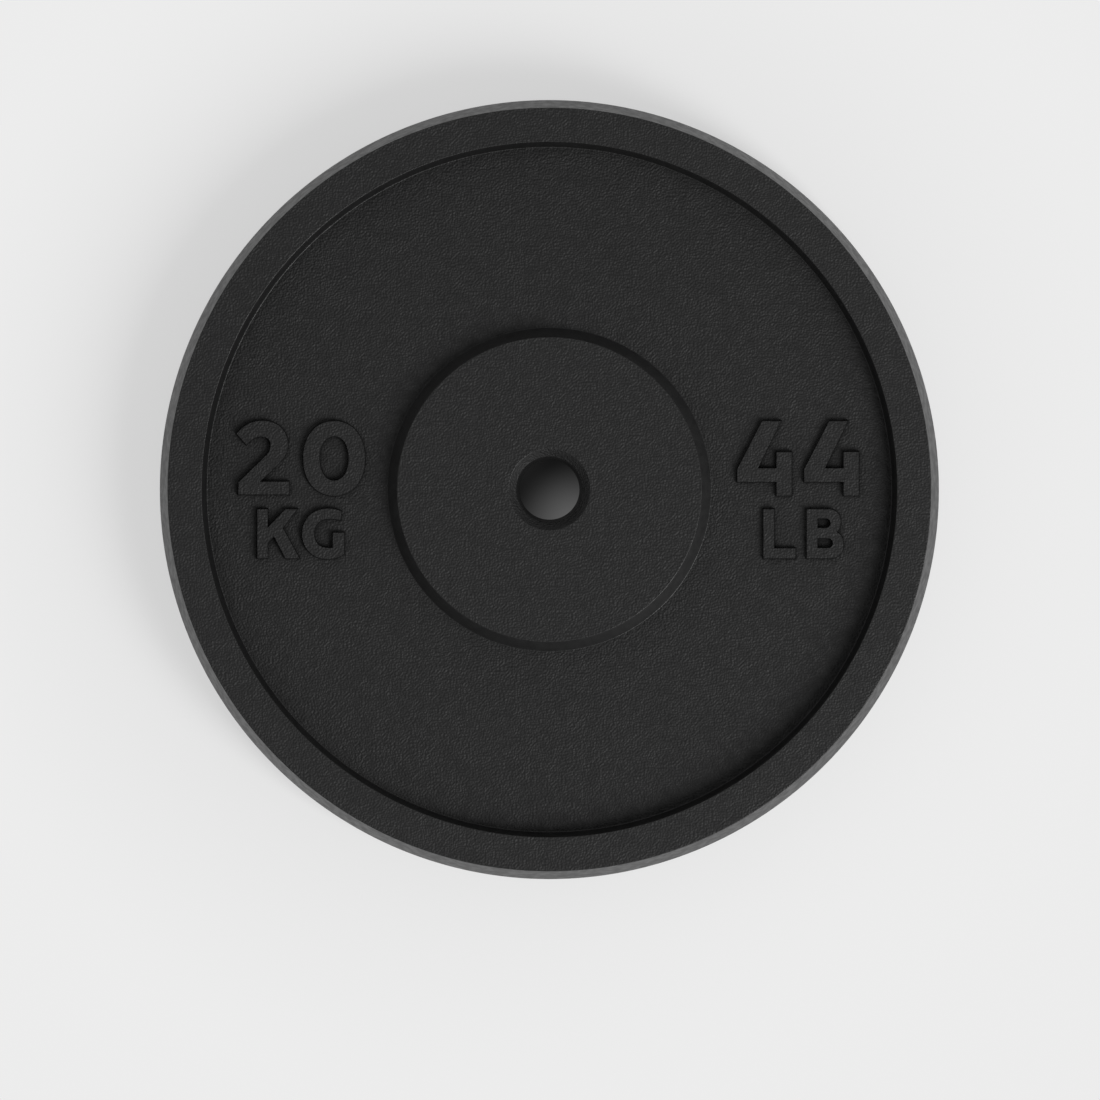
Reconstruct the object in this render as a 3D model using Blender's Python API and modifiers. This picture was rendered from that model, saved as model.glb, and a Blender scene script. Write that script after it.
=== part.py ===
"""A 20 kg cast iron weight plate for a 28 mm bar, lying flat with its front face up.

The plate is one iron casting, so it is one solid. Both faces have the same rim, recess and hub, and the mould
parts half way up the flank. Units are metres and +Z is up. The origin is on the bore's axis, in the plane of
the back rim face that the plate rests on.
"""

import math

import bmesh
import bpy
from mathutils import Vector

# Overall sizes, the radius taken at the parting line
PLATE_RADIUS = 0.189
THICKNESS = 0.040

# Outer rim, drafted both ways from the parting line
RIM_FACE_WIDTH = 0.0165
RIM_DRAFT = math.radians(11.3)
PARTING_ROUND = 0.003

# Lip of the rim, its height taken from the web
RIM_HEIGHT = 0.0109
LIP_DRAFT = math.radians(12.5)

# Hub, a little lower than the rim
HUB_RADIUS = 0.0738
HUB_HEIGHT = 0.0088
HUB_DRAFT = math.radians(27.5)

# Rounding of rim and hub at their top edges and at the web
EDGE_ROUND = 0.001
FOOT_FILLET = 0.0015

# Bore, narrowest half way through and chamfered at both mouths
BAR_DIAMETER = 0.028
BORE_CLEARANCE = 0.0011
BORE_DRAFT = math.radians(6.0)
BORE_CHAMFER = 0.00375

# Facets
TURN_STEPS = 96
ARC_STEPS = 3

# Sizes that follow from those above
MID_HEIGHT = THICKNESS / 2
WEB_LEVEL = THICKNESS - RIM_HEIGHT
HUB_LEVEL = WEB_LEVEL + HUB_HEIGHT
RIM_FACE_RADIUS = PLATE_RADIUS - MID_HEIGHT * math.tan(RIM_DRAFT)
LIP_RADIUS = RIM_FACE_RADIUS - RIM_FACE_WIDTH
THROAT_RADIUS = (BAR_DIAMETER + BORE_CLEARANCE) / 2
MOUTH_LEVEL = HUB_LEVEL - BORE_CHAMFER
MOUTH_RADIUS = THROAT_RADIUS + (MOUTH_LEVEL - MID_HEIGHT) * math.tan(BORE_DRAFT)

SHARP_ANGLE = math.radians(30.0)
PAINT_COLOUR = (0.028, 0.028, 0.028, 1.0)
PAINT_ROUGHNESS = 0.55


def clear_scene():
    for obj in list(bpy.data.objects):
        bpy.data.objects.remove(obj, do_unlink=True)


def new_collection(name):
    collection = bpy.data.collections.new(name)
    bpy.context.scene.collection.children.link(collection)
    return collection


def black_paint():
    """Black textured paint over cast iron."""
    material = bpy.data.materials.new("black_textured_paint")
    material.use_nodes = True
    shader = material.node_tree.nodes["Principled BSDF"]
    shader.inputs["Base Color"].default_value = PAINT_COLOUR
    shader.inputs["Roughness"].default_value = PAINT_ROUGHNESS
    shader.inputs["Metallic"].default_value = 0.0
    return material


def rounded_corner(before, corner, after, radius):
    """The points of an arc that rounds one corner, tangent to both sides. A radius of 0 leaves it sharp."""
    if radius == 0:
        return [corner]
    to_before = (before - corner).normalized()
    to_after = (after - corner).normalized()
    half_angle = to_before.angle(to_after) / 2
    centre = corner + (to_before + to_after).normalized() * radius / math.sin(half_angle)
    reach = radius / math.tan(half_angle)
    first = corner + to_before * reach - centre
    last = corner + to_after * reach - centre
    return [centre + radius * first.slerp(last, step / ARC_STEPS) for step in range(ARC_STEPS + 1)]


def rounded_outline(corners):
    """A closed outline from corners given as distance from the axis, height and rounding radius."""
    points = []
    for index, (distance, height, radius) in enumerate(corners):
        before = Vector(corners[index - 1][:2])
        after = Vector(corners[(index + 1) % len(corners)][:2])
        points += rounded_corner(before, Vector((distance, height)), after, radius)
    return points


def front_corners():
    """The front face, from the bore's mouth outwards to the edge of the rim."""
    hub_run = HUB_HEIGHT * math.tan(HUB_DRAFT)
    lip_run = RIM_HEIGHT * math.tan(LIP_DRAFT)
    return [
        (MOUTH_RADIUS, MOUTH_LEVEL, 0),
        (MOUTH_RADIUS + BORE_CHAMFER, HUB_LEVEL, 0),
        (HUB_RADIUS, HUB_LEVEL, EDGE_ROUND),
        (HUB_RADIUS + hub_run, WEB_LEVEL, FOOT_FILLET),
        (LIP_RADIUS - lip_run, WEB_LEVEL, FOOT_FILLET),
        (LIP_RADIUS, THICKNESS, EDGE_ROUND),
        (RIM_FACE_RADIUS, THICKNESS, EDGE_ROUND),
    ]


def mirrored(corners):
    """The same corners on the back face, in the order that carries the outline back to the bore."""
    return [(distance, THICKNESS - height, radius) for distance, height, radius in reversed(corners)]


def casting_corners():
    throat = (THROAT_RADIUS, MID_HEIGHT, 0)
    parting_line = (PLATE_RADIUS, MID_HEIGHT, PARTING_ROUND)
    front = front_corners()
    return [throat] + front + [parting_line] + mirrored(front)


def profile_mesh(name, outline):
    """A closed loop of edges in the XZ plane."""
    build = bmesh.new()
    verts = [build.verts.new((point.x, 0.0, point.y)) for point in outline]
    for index, vert in enumerate(verts):
        build.edges.new((verts[index - 1], vert))
    mesh = bpy.data.meshes.new(name)
    build.to_mesh(mesh)
    build.free()
    return mesh


def turned(obj):
    """Sweeps the object's profile once round the Z axis."""
    screw = obj.modifiers.new("turn", "SCREW")
    screw.axis = "Z"
    screw.steps = TURN_STEPS
    screw.render_steps = TURN_STEPS
    screw.use_merge_vertices = True
    screw.merge_threshold = 0.00001
    graph = bpy.context.evaluated_depsgraph_get()
    return bpy.data.meshes.new_from_object(obj.evaluated_get(graph))


def build_plate_casting(collection):
    outline = rounded_outline(casting_corners())
    casting = bpy.data.objects.new("plate_casting", profile_mesh("plate_profile", outline))
    collection.objects.link(casting)
    solid = turned(casting)
    casting.modifiers.clear()
    casting.data = solid
    solid.name = "plate_casting"
    solid.materials.append(black_paint())
    solid.shade_smooth()
    solid.set_sharp_from_angle(angle=SHARP_ANGLE)
    return casting


def main():
    clear_scene()
    build_plate_casting(new_collection("weight_plate"))


main()
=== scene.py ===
"""The looks of the cast iron weight plate: painted casting, raised weight marks, floor, lights and camera.

Units are metres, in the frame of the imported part: the plate lies on its back with the bore's axis on Z. The
plate's sizes are those of the CAD part.
"""

import math

import bmesh
import bpy
from mathutils import Matrix, Vector


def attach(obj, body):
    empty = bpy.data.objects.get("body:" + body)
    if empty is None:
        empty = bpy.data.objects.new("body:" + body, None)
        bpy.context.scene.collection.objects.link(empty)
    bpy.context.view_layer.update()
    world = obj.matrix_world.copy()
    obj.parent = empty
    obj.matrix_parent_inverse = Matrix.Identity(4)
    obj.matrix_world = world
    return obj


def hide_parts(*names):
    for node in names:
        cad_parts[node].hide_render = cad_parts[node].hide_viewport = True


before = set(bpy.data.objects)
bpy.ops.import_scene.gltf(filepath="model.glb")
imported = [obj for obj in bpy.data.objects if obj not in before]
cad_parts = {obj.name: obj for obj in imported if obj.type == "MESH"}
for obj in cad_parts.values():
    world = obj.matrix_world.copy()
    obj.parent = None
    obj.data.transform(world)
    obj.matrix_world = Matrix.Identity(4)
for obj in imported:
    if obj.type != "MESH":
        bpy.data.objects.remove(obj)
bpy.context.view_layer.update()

BODY = "root"

# The casting's sizes, the radius taken at the parting line
PLATE_RADIUS = 0.189
THICKNESS = 0.0400
RIM_FACE_WIDTH = 0.0165
RIM_SLOPE_RUN = 0.0040
RIM_HEIGHT = 0.0109
LIP_SLOPE_RUN = 0.0024
HUB_RADIUS = 0.0738
HUB_HEIGHT = 0.0088
HUB_SLOPE_RUN = 0.0046
THROAT_RADIUS = 0.01455
BORE_DRAFT = math.radians(6.0)
BORE_CHAMFER = 0.00375

# Rounding of its corners
EDGE_ROUND = 0.0004
FOOT_FILLET = 0.0005
PARTING_ROUND = 0.003
BORE_ROUND = 0.0004

# Facets of the turned casting
TURN_STEPS = 256
ARC_STEP = math.radians(11.0)

# Raised marks on the web
MARK_HEIGHT = 0.0028
MARK_SINK = 0.0006
MARK_FLARE = 0.0006
FIGURE_CAP_HEIGHT = 0.0360
FIGURE_BASELINE = -0.0029
LETTER_CAP_HEIGHT = 0.0237
LETTER_BASELINE = -0.0333
GLYPH_CAP_HEIGHT = 100.0
CURVE_STEPS = 14
WELD_DISTANCE = 0.000002
MARK_SHARP_ANGLE = math.radians(40.0)

# Round end of a slot in a mark, as shares of its height: the length of its bend, and that of its handles
END_BEND = 0.45
END_HANDLE = 0.25

# Paint
PAINT_DARK = (0.0028, 0.0028, 0.0029, 1.0)
PAINT_LIGHT = (0.0040, 0.0040, 0.0040, 1.0)
# Paler colour of the hub's slope, a painted highlight
SLOPE_HIGHLIGHT_TONE = (0.0112, 0.0112, 0.0112, 1.0)
TONE_SCALE = 45.0
TONE_DETAIL = 4.0
PAINT_SPECULAR = 0.485
PAINT_ROUGHNESS = 0.70
SLOPE_ROUGHNESS = 0.53
EDGE_ROUGHNESS = 0.46
STEEP_ROUGHNESS = 0.44
GLOSS_SCALE = 260.0
GLOSS_DETAIL = 3.0
GRAIN_HEIGHT = 0.00046
GRAIN_SCALE = 1000.0
GRAIN_DETAIL = 0.0
STEEP_GRAIN = 0.15
EDGE_GRAIN = 0.3
# Reach and samples of the painted shade in corners, which also makes them duller
CORNER_REACH = 0.020
CORNER_SAMPLES = 6

# Added to its roughness by the noise of its gloss, and by how open a corner is
UNEVENNESS_BY_NOISE = [(0.3, -0.06), (0.7, 0.06)]
DULLNESS_BY_OPENNESS = [(0.50, 0.26), (0.72, 0.0)]

# Its roughness by how level a face is, 0 for upright and 1 for level: smoother on steep faces and on edges
ROUGHNESS_BY_SLOPE = [
    (0.25, STEEP_ROUGHNESS),
    (0.42, SLOPE_ROUGHNESS),
    (0.52, SLOPE_ROUGHNESS),
    (0.62, PAINT_ROUGHNESS),
    (0.72, PAINT_ROUGHNESS),
    (0.80, EDGE_ROUGHNESS),
    (0.96, EDGE_ROUGHNESS),
    (0.99, PAINT_ROUGHNESS),
]

# Its colour's share of the paler slope tone in the same way: a painted highlight, which makes the hub's slope
# paler and brighter on its lit side
HIGHLIGHT_TONE_BY_SLOPE = [
    (0.25, 0.0),
    (0.42, 1.0),
    (0.52, 1.0),
    (0.62, 0.0),
]

# The strength of its grain in the same way
GRAIN_BY_SLOPE = [
    (0.52, STEEP_GRAIN),
    (0.62, 1.0),
    (0.72, 1.0),
    (0.80, EDGE_GRAIN),
    (0.96, EDGE_GRAIN),
    (0.99, 1.0),
]

# The share of the corners' dullness in the same way: it shows on level faces only
DULLNESS_BY_SLOPE = [(0.97, 0.0), (0.99, 1.0)]

# Camera, straight above the plate and far away
CAMERA_PLACE = Vector((0.0003, -0.0293, 20.0))
VIEW_WIDTH = 0.5335
SENSOR_WIDTH = 36.0

# Key light, a tall soft panel
KEY_DISTANCE = 2.6
KEY_AZIMUTH = math.radians(-39.0)
KEY_ELEVATION = math.radians(42.0)
KEY_WIDTH = 0.78
KEY_HEIGHT = 1.63
KEY_POWER = 55.0

# Studio round the plate: pale walls that dim to a ceiling by the direction's height, with a pale patch in it
WHITE = (1.0, 1.0, 1.0, 1.0)
BACKDROP_BY_HEIGHT = [(0.1, 0.842), (0.5, 0.33)]
PATCH_LEVEL = 0.1
PATCH_AZIMUTH = math.radians(135.0)
PATCH_ELEVATION = math.radians(72.0)
PATCH_INNER = math.radians(14.0)
PATCH_OUTER = math.radians(32.0)

# Floor, and the painted shade and painted light under the plate, which show in the bore
FLOOR_RADIUS = 30.0
FLOOR_SEGMENTS = 128
FLOOR_GAP = 0.0002
FLOOR_COLOUR = (0.842, 0.842, 0.842, 1.0)
BORE_SHADE_COLOUR = (0.02, 0.02, 0.02, 1.0)
BORE_LIGHT_PLACE = (0.0132, -0.0195, 0.0)
BORE_LIGHT_BY_DISTANCE = [(0.0, 0.117), (0.0357, 0.0065)]

# By the distance from the bore's axis: the share of the painted shade under the plate, and the floor's own
# glow in two steps
UNDER_BY_DISTANCE = [(0.030, 1.0), (0.080, 0.0)]
NEAR_GLOW_BY_DISTANCE = [(0.150, 0.0), (0.180, 0.67)]
FAR_GLOW_BY_DISTANCE = [(0.20, 0.0), (0.32, 0.33)]

# Sizes that follow from those above
MID_HEIGHT = THICKNESS / 2
WEB_LEVEL = THICKNESS - RIM_HEIGHT
HUB_LEVEL = WEB_LEVEL + HUB_HEIGHT
RIM_FACE_RADIUS = PLATE_RADIUS - RIM_SLOPE_RUN
LIP_RADIUS = RIM_FACE_RADIUS - RIM_FACE_WIDTH
MOUTH_LEVEL = HUB_LEVEL - BORE_CHAMFER
MOUTH_RADIUS = THROAT_RADIUS + (MOUTH_LEVEL - MID_HEIGHT) * math.tan(BORE_DRAFT)


# Node trees

def add_node(tree, kind, **settings):
    node = tree.nodes.new(kind)
    for name, value in settings.items():
        setattr(node, name, value)
    return node


def set_inputs(node, values):
    for name, value in values.items():
        node.inputs[name].default_value = value
    return node


def math_node(tree, operation, first, second):
    """A Math node on two inputs, each a number or a socket."""
    node = add_node(tree, "ShaderNodeMath", operation=operation)
    for socket, value in zip(node.inputs, (first, second)):
        if isinstance(value, float):
            socket.default_value = value
        else:
            tree.links.new(value, socket)
    return node.outputs["Value"]


def smooth_step(tree, value, stops):
    """A smooth step between two stops, each a value and its result."""
    (low, low_result), (high, high_result) = stops
    node = add_node(tree, "ShaderNodeMapRange", interpolation_type="SMOOTHSTEP")
    set_inputs(node, {"From Min": low, "From Max": high, "To Min": low_result, "To Max": high_result})
    tree.links.new(value, node.inputs["Value"])
    return node.outputs["Result"]


def ramps(tree, value, stops):
    """Straight ramps through stops, each a value and its result."""
    node = add_node(tree, "ShaderNodeValToRGB")
    ramp = node.color_ramp
    while len(ramp.elements) < len(stops):
        ramp.elements.new(1.0)
    for element, (position, result) in zip(ramp.elements, stops):
        element.position = position
        element.color = (result, result, result, 1.0)
    tree.links.new(value, node.inputs["Fac"])
    return node.outputs["Color"]


def blend(tree, share, first, second):
    """A blend from the first colour to the second, each a colour or a socket."""
    node = add_node(tree, "ShaderNodeMix", data_type="RGBA")
    tree.links.new(share, node.inputs["Factor"])
    for name, colour in (("A", first), ("B", second)):
        if isinstance(colour, tuple):
            node.inputs[name].default_value = colour
        else:
            tree.links.new(colour, node.inputs[name])
    return node.outputs["Result"]


def noise(tree, place, scale, detail):
    node = add_node(tree, "ShaderNodeTexNoise")
    set_inputs(node, {"Scale": scale, "Detail": detail})
    tree.links.new(place, node.inputs["Vector"])
    return node.outputs["Fac"]


def seen_directly(tree):
    """1 for what the camera sees, also in a reflection or through glass, and 0 for light bounced on."""
    path = add_node(tree, "ShaderNodeLightPath")
    seen = math_node(tree, "MAXIMUM", path.outputs["Is Camera Ray"], path.outputs["Is Glossy Ray"])
    return math_node(tree, "MAXIMUM", seen, path.outputs["Is Transmission Ray"])


# Black textured paint

def textured_paint():
    """Black paint with an orange-peel grain, a little uneven in tone and gloss, and duller in corners. Its
    colour carries painted shade, darker in corners, and a painted highlight, paler on the hub's slope.
    """
    material = bpy.data.materials.new("black_textured_paint")
    material.use_nodes = True
    tree = material.node_tree
    shader = tree.nodes["Principled BSDF"]
    set_inputs(shader, {"Metallic": 0.0, "Specular IOR Level": PAINT_SPECULAR})
    place = add_node(tree, "ShaderNodeTexCoord").outputs["Object"]
    facing = add_node(tree, "ShaderNodeSeparateXYZ")
    tree.links.new(add_node(tree, "ShaderNodeNewGeometry").outputs["True Normal"], facing.inputs["Vector"])
    upward = math_node(tree, "ABSOLUTE", facing.outputs["Z"], 0.0)

    tone = blend(tree, noise(tree, place, TONE_SCALE, TONE_DETAIL), PAINT_DARK, PAINT_LIGHT)
    # Painted highlight: the hub's slope gets a paler colour
    tone = blend(tree, ramps(tree, upward, HIGHLIGHT_TONE_BY_SLOPE), tone, SLOPE_HIGHLIGHT_TONE)
    # Painted shade: the colour darkens in corners by their ambient occlusion, which also raises their
    # roughness
    corner_shade = add_node(tree, "ShaderNodeAmbientOcclusion", samples=CORNER_SAMPLES)
    corner_shade.inputs["Distance"].default_value = CORNER_REACH
    tree.links.new(tone, corner_shade.inputs["Color"])
    tree.links.new(corner_shade.outputs["Color"], shader.inputs["Base Color"])

    even = ramps(tree, upward, ROUGHNESS_BY_SLOPE)
    uneven = smooth_step(tree, noise(tree, place, GLOSS_SCALE, GLOSS_DETAIL), UNEVENNESS_BY_NOISE)
    dull = smooth_step(tree, corner_shade.outputs["AO"], DULLNESS_BY_OPENNESS)
    dull_flats = math_node(tree, "MULTIPLY", dull, smooth_step(tree, upward, DULLNESS_BY_SLOPE))
    rough = math_node(tree, "ADD", math_node(tree, "ADD", even, uneven), dull_flats)
    tree.links.new(rough, shader.inputs["Roughness"])

    grain = set_inputs(add_node(tree, "ShaderNodeBump"), {"Distance": GRAIN_HEIGHT})
    tree.links.new(ramps(tree, upward, GRAIN_BY_SLOPE), grain.inputs["Strength"])
    tree.links.new(noise(tree, place, GRAIN_SCALE, GRAIN_DETAIL), grain.inputs["Height"])
    tree.links.new(grain.outputs["Normal"], shader.inputs["Normal"])
    return material


# The turned casting

def left_of(direction):
    """The unit vector to the left, which points out of an outline that runs clockwise."""
    return Vector((-direction.y, direction.x)).normalized()


def rounded_corner(before, corner, after, radius):
    """The points and outward normals along an arc that rounds one corner."""
    normal_in = left_of(corner - before)
    normal_out = left_of(after - corner)
    to_before = (before - corner).normalized()
    to_after = (after - corner).normalized()
    half_angle = to_before.angle(to_after) / 2
    centre = corner + (to_before + to_after).normalized() * radius / math.sin(half_angle)
    side = 1 if (corner - centre).dot(normal_in + normal_out) > 0 else -1
    steps = math.ceil(normal_in.angle(normal_out) / ARC_STEP)
    normals = [normal_in.slerp(normal_out, step / steps) for step in range(steps + 1)]
    return [(centre + side * radius * normal, normal) for normal in normals]


def front_corners():
    """The front face from the bore's mouth outwards, as distance from the axis, height and rounding."""
    return [
        (MOUTH_RADIUS, MOUTH_LEVEL, BORE_ROUND),
        (MOUTH_RADIUS + BORE_CHAMFER, HUB_LEVEL, BORE_ROUND),
        (HUB_RADIUS, HUB_LEVEL, EDGE_ROUND),
        (HUB_RADIUS + HUB_SLOPE_RUN, WEB_LEVEL, FOOT_FILLET),
        (LIP_RADIUS - LIP_SLOPE_RUN, WEB_LEVEL, FOOT_FILLET),
        (LIP_RADIUS, THICKNESS, EDGE_ROUND),
        (RIM_FACE_RADIUS, THICKNESS, EDGE_ROUND),
    ]


def casting_outline():
    """The closed outline of the casting, with the back face as a mirror image of the front."""
    throat = (THROAT_RADIUS, MID_HEIGHT, PARTING_ROUND)
    parting_line = (PLATE_RADIUS, MID_HEIGHT, PARTING_ROUND)
    front = front_corners()
    back = [(distance, THICKNESS - height, radius) for distance, height, radius in reversed(front)]
    corner_shade = [throat] + front + [parting_line] + back
    outline = []
    for index, (distance, height, radius) in enumerate(corner_shade):
        before = Vector(corner_shade[index - 1][:2])
        after = Vector(corner_shade[(index + 1) % len(corner_shade)][:2])
        outline += rounded_corner(before, Vector((distance, height)), after, radius)
    return outline


def turned(name, outline):
    """Turns an outline once round the Z axis and keeps its normals, so that the flats shade flat."""
    points, normals, faces = [], [], []
    count = len(outline)
    for turn in range(TURN_STEPS):
        angle = math.tau * turn / TURN_STEPS
        cos, sin = math.cos(angle), math.sin(angle)
        points += [(place.x * cos, place.x * sin, place.y) for place, normal in outline]
        normals += [(normal.x * cos, normal.x * sin, normal.y) for place, normal in outline]
        here = turn * count
        there = (turn + 1) % TURN_STEPS * count
        for index in range(count):
            ahead = (index + 1) % count
            faces.append((here + index, here + ahead, there + ahead, there + index))
    mesh = bpy.data.meshes.new(name)
    mesh.from_pydata(points, [], faces)
    mesh.shade_smooth()
    mesh.normals_split_custom_set_from_vertices(normals)
    return mesh


def show(name, data):
    obj = bpy.data.objects.new(name, data)
    bpy.context.scene.collection.objects.link(obj)
    return obj


def build_casting(paint):
    casting = show("painted_casting", turned("painted_casting", casting_outline()))
    casting.data.materials.append(paint)
    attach(casting, BODY)
    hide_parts("plate_casting")


# Raised weight marks

def oval(x, y, half_width, half_height, squareness):
    """A closed oval of four curves round (x, y)."""
    curves = []
    for quarter in range(4):
        c0, s0 = math.cos(math.tau * quarter / 4), math.sin(math.tau * quarter / 4)
        c1, s1 = -s0, c0
        unit = (
            (c0 - squareness * s0, s0 + squareness * c0),
            (c1 + squareness * s1, s1 - squareness * c1),
            (c1, s1),
        )
        curves.append([value for u, v in unit for value in (x + half_width * u, y + half_height * v)])
    return curves


def round_ended(left, right, bottom, top):
    """A closed slot with a square left end and a round right end."""
    middle = (bottom + top) / 2
    bend = (top - bottom) * END_BEND
    reach = (top - bottom) * END_HANDLE
    return [
        (left, bottom),
        (right - bend, bottom),
        (right - bend + reach, bottom, right, middle - reach, right, middle),
        (right, middle + reach, right - bend + reach, top, right - bend, top),
        (left, top),
    ]


# Each glyph's outlines from its left edge and the baseline, with capitals GLYPH_CAP_HEIGHT tall. Two numbers
# are a straight line to that point, and six are a curve: two handles and its end.
GLYPHS = {
    "2": [[
        (2.3, 1.6), (70.3, 1.6), (70.3, 18.5), (30.9, 18.5), (54, 41),
        (63.5, 50.2, 68.7, 57.5, 68.7, 68.4),
        (68.7, 87.5, 54.5, 100.6, 34.8, 100.6),
        (20.5, 100.6, 8.5, 94.5, 0, 83.1),
        (13.1, 68.4),
        (19, 75.8, 25.3, 79.6, 32.4, 79.6),
        (40.8, 79.6, 45.6, 75.2, 45.6, 68.4),
        (45.6, 62.5, 43.5, 57.8, 39.4, 53.8),
        (2.3, 17.5),
    ]],
    "0": [oval(41.5, 50, 41.5, 50.2, 0.6), oval(41.5, 50, 19.8, 30, 0.6)],
    "4": [[
        (33.5, 100), (58.2, 100), (27.4, 36.5), (53, 36.5), (53, 58.4), (73, 58.4), (73, 0),
        (53, 0), (53, 18.6), (0, 18.6), (0, 35.2),
    ]],
    "K": [[
        (0, 0), (20.6, 0), (20.6, 31.5), (34, 45), (57.4, 0), (85.5, 0), (51.5, 61.8), (80.3, 100),
        (57.4, 100), (20.6, 61.8), (20.6, 100), (0, 100),
    ]],
    "G": [[
        (85.5, 52), (85.5, 8.7),
        (76, 2, 64.5, -1.5, 52, -1.5),
        (21.5, -1.5, 0, 20, 0, 50),
        (0, 80.5, 22, 101.5, 53, 101.5),
        (63, 101.5, 72.5, 99.5, 80.3, 95.3),
        (78, 77.8),
        (70.5, 80.3, 63, 81, 55, 81),
        (36, 81, 24, 68.5, 24, 50),
        (24, 33, 35, 21, 51, 21),
        (62.8, 21), (62.8, 52),
    ]],
    "L": [[(0, 0), (65, 0), (65, 20), (21.5, 20), (21.5, 100), (0, 100)]],
    "B": [
        [
            (0, 0), (45, 0),
            (64.5, 0, 74.5, 10, 74.5, 27.5),
            (74.5, 41, 69.5, 50, 60.5, 53.5),
            (66, 58.5, 68.6, 66, 68.6, 75),
            (68.6, 91, 60, 100, 43, 100),
            (0, 100),
        ],
        round_ended(21.5, 48.7, 61.8, 81.7),
        round_ended(21.5, 53.4, 20.8, 41),
    ],
}


def add_outline(curve, outline, place, scale):
    """Adds a closed outline of straight lines and curves to a 2D curve."""
    spline = curve.splines.new("BEZIER")
    spline.bezier_points.add(len(outline) - 1)
    spline.use_cyclic_u = True
    for index, part in enumerate(outline):
        spots = [place + scale * Vector((x, y, 0)) for x, y in zip(part[::2], part[1::2])]
        start, end = spline.bezier_points[index - 1], spline.bezier_points[index]
        end.co = spots[-1]
        curved = len(spots) == 3
        start.handle_right_type = end.handle_left_type = "FREE" if curved else "VECTOR"
        if curved:
            start.handle_right, end.handle_left = spots[:2]


def merged_mesh(obj):
    """The object's evaluated mesh with its seams welded."""
    graph = bpy.context.evaluated_depsgraph_get()
    mesh = bpy.data.meshes.new_from_object(obj.evaluated_get(graph))
    build = bmesh.new()
    build.from_mesh(mesh)
    bmesh.ops.remove_doubles(build, verts=build.verts, dist=WELD_DISTANCE)
    build.to_mesh(mesh)
    build.free()
    return mesh


def build_mark(name, glyphs, baseline, cap_height, paint):
    """One raised mark: its glyphs with their left edges, on a baseline across the plate.

    The drawn outline is that of the top, and the sides slope out by MARK_FLARE down to their sunk foot.
    Their mirror image below that is hidden in the casting.
    """
    curve = bpy.data.curves.new(name, "CURVE")
    curve.dimensions = "2D"
    curve.fill_mode = "BOTH"
    curve.resolution_u = CURVE_STEPS
    curve.bevel_depth = MARK_FLARE
    curve.bevel_resolution = 0
    for glyph, left in glyphs:
        for outline in GLYPHS[glyph]:
            add_outline(curve, outline, Vector((left, baseline, 0)), cap_height / GLYPH_CAP_HEIGHT)
    drawn = show(name + "_drawing", curve)
    mark = show(name, merged_mesh(drawn))
    bpy.data.objects.remove(drawn)
    stretch = Matrix.Diagonal((1, 1, (MARK_HEIGHT + MARK_SINK) / MARK_FLARE, 1))
    mark.data.transform(Matrix.Translation((0, 0, WEB_LEVEL - MARK_SINK)) @ stretch)
    mark.data.shade_smooth()
    mark.data.set_sharp_from_angle(angle=MARK_SHARP_ANGLE)
    flats = mark.modifiers.new("flat_faces", "WEIGHTED_NORMAL")
    flats.keep_sharp = True
    mark.data.materials.clear()
    mark.data.materials.append(paint)
    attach(mark, BODY)


def build_marks(paint):
    figures = (FIGURE_BASELINE, FIGURE_CAP_HEIGHT, paint)
    letters = (LETTER_BASELINE, LETTER_CAP_HEIGHT, paint)
    build_mark("mark_20", [("2", -0.1515), ("0", -0.1193)], *figures)
    build_mark("mark_kg", [("K", -0.1415), ("G", -0.1198)], *letters)
    build_mark("mark_44", [("4", 0.0911), ("4", 0.1236)], *figures)
    build_mark("mark_lb", [("L", 0.1038), ("B", 0.1248)], *letters)


# Floor, lights and camera

def direction_to(azimuth, elevation):
    return Vector((
        math.cos(elevation) * math.cos(azimuth),
        math.cos(elevation) * math.sin(azimuth),
        math.sin(elevation),
    ))


def floor_surface():
    """A pale floor that takes about a third of its brightness from the lamps near the plate.

    Under the plate its colour is darkened, a painted shade, and it glows softly towards one side, a painted
    pool of light, which is how it shows in the bore.
    """
    material = bpy.data.materials.new("pale_floor")
    material.use_nodes = True
    tree = material.node_tree
    shader = tree.nodes["Principled BSDF"]
    set_inputs(shader, {"Roughness": 1.0, "Specular IOR Level": 0.0, "Emission Color": WHITE})
    glow = set_inputs(add_node(tree, "ShaderNodeEmission"), {"Color": FLOOR_COLOUR, "Strength": 1.0})
    place = add_node(tree, "ShaderNodeTexCoord").outputs["Object"]
    length = add_node(tree, "ShaderNodeVectorMath", operation="LENGTH")
    tree.links.new(place, length.inputs[0])
    distance = length.outputs["Value"]
    # Painted shade under the plate, with a painted pool of light in it towards one side
    under = smooth_step(tree, distance, UNDER_BY_DISTANCE)
    tree.links.new(blend(tree, under, FLOOR_COLOUR, BORE_SHADE_COLOUR), shader.inputs["Base Color"])
    away = add_node(tree, "ShaderNodeVectorMath", operation="DISTANCE")
    away.inputs[1].default_value = BORE_LIGHT_PLACE
    tree.links.new(place, away.inputs[0])
    lit = smooth_step(tree, away.outputs["Value"], BORE_LIGHT_BY_DISTANCE)
    tree.links.new(math_node(tree, "MULTIPLY", lit, under), shader.inputs["Emission Strength"])
    near = smooth_step(tree, distance, NEAR_GLOW_BY_DISTANCE)
    far = smooth_step(tree, distance, FAR_GLOW_BY_DISTANCE)
    share = math_node(tree, "MULTIPLY", math_node(tree, "ADD", near, far), seen_directly(tree))
    mix = add_node(tree, "ShaderNodeMixShader")
    tree.links.new(share, mix.inputs["Fac"])
    tree.links.new(shader.outputs["BSDF"], mix.inputs[1])
    tree.links.new(glow.outputs["Emission"], mix.inputs[2])
    tree.links.new(mix.outputs["Shader"], tree.nodes["Material Output"].inputs["Surface"])
    return material


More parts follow.
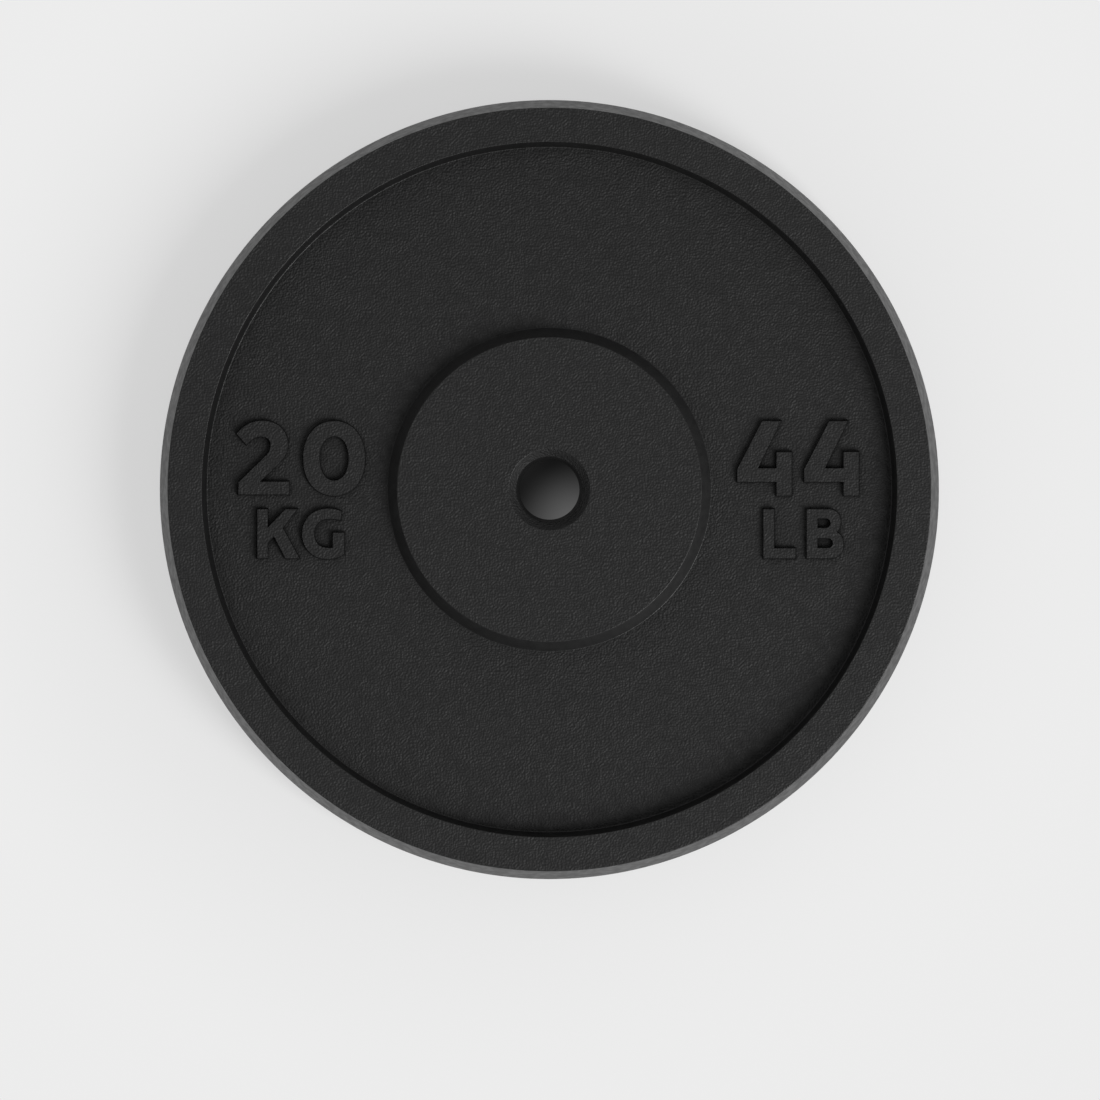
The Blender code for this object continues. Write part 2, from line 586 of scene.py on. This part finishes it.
def build_floor():
    build = bmesh.new()
    bmesh.ops.create_circle(build, cap_ends=True, segments=FLOOR_SEGMENTS, radius=FLOOR_RADIUS)
    mesh = bpy.data.meshes.new("floor")
    build.to_mesh(mesh)
    build.free()
    floor = show("floor", mesh)
    floor.location.z = -FLOOR_GAP
    mesh.materials.append(floor_surface())


def build_key_light():
    data = bpy.data.lights.new("key_light", "AREA")
    data.shape = "RECTANGLE"
    data.size = KEY_WIDTH
    data.size_y = KEY_HEIGHT
    data.energy = KEY_POWER
    light = show("key_light", data)
    light.visible_camera = False
    towards = direction_to(KEY_AZIMUTH, KEY_ELEVATION)
    light.location = towards * KEY_DISTANCE
    light.rotation_euler = (-towards).to_track_quat("-Z", "Y").to_euler()


def build_studio():
    """A dim ceiling with a soft pale patch nearly overhead, over pale walls."""
    world = bpy.data.worlds.new("studio")
    bpy.context.scene.world = world
    world.use_nodes = True
    tree = world.node_tree
    direction = add_node(tree, "ShaderNodeTexCoord").outputs["Generated"]
    parts = add_node(tree, "ShaderNodeSeparateXYZ")
    tree.links.new(direction, parts.inputs["Vector"])
    backdrop = smooth_step(tree, parts.outputs["Z"], BACKDROP_BY_HEIGHT)
    facing = add_node(tree, "ShaderNodeVectorMath", operation="DOT_PRODUCT")
    facing.inputs[1].default_value = direction_to(PATCH_AZIMUTH, PATCH_ELEVATION)
    tree.links.new(direction, facing.inputs[0])
    patch_stops = [(math.cos(PATCH_OUTER), 0.0), (math.cos(PATCH_INNER), PATCH_LEVEL)]
    patch = smooth_step(tree, facing.outputs["Value"], patch_stops)
    level = math_node(tree, "ADD", backdrop, patch)
    background = tree.nodes["Background"]
    background.inputs["Color"].default_value = WHITE
    tree.links.new(level, background.inputs["Strength"])


def build_camera():
    """A long lens whose frame is VIEW_WIDTH wide at the plate's middle height."""
    data = bpy.data.cameras.new("camera")
    data.sensor_width = SENSOR_WIDTH
    data.lens = SENSOR_WIDTH * (CAMERA_PLACE.z - MID_HEIGHT) / VIEW_WIDTH
    data.clip_end = 2 * CAMERA_PLACE.z
    camera = show("camera", data)
    camera.location = CAMERA_PLACE
    bpy.context.scene.camera = camera


paint = textured_paint()
build_casting(paint)
build_marks(paint)
build_floor()
build_key_light()
build_studio()
build_camera()
bpy.context.scene.view_settings.view_transform = "Standard"
